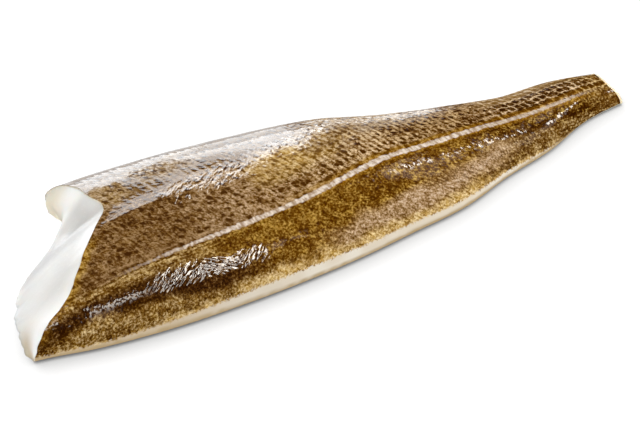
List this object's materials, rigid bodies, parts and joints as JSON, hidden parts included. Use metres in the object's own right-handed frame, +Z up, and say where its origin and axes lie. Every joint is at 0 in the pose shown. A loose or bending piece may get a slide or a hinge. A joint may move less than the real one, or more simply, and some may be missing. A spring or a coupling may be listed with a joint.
{
  "type": "skin-on cod fillet",
  "caption": "Raw skin-on fillet from one side of a cod, lying skin side up: thick loin with a slanting head cut, tapering to a narrow cut tail.",
  "frame": {"origin": "on the resting face, under the middle of the fillet's bounding box", "axes": "+X from the head cut to the tail cut, +Y from the belly edge to the back edge, +Z up through the skin"},
  "size_m": [0.4332, 0.1418, 0.0408],
  "materials": {
    "skin": "wet mottled fish skin, golden brown with dark speckles and a pale lateral line",
    "flesh": "moist translucent white fish flesh"
  },
  "bodies": {
    "root": {"cod_fillet": "skin"}
  },
  "joints": []
}
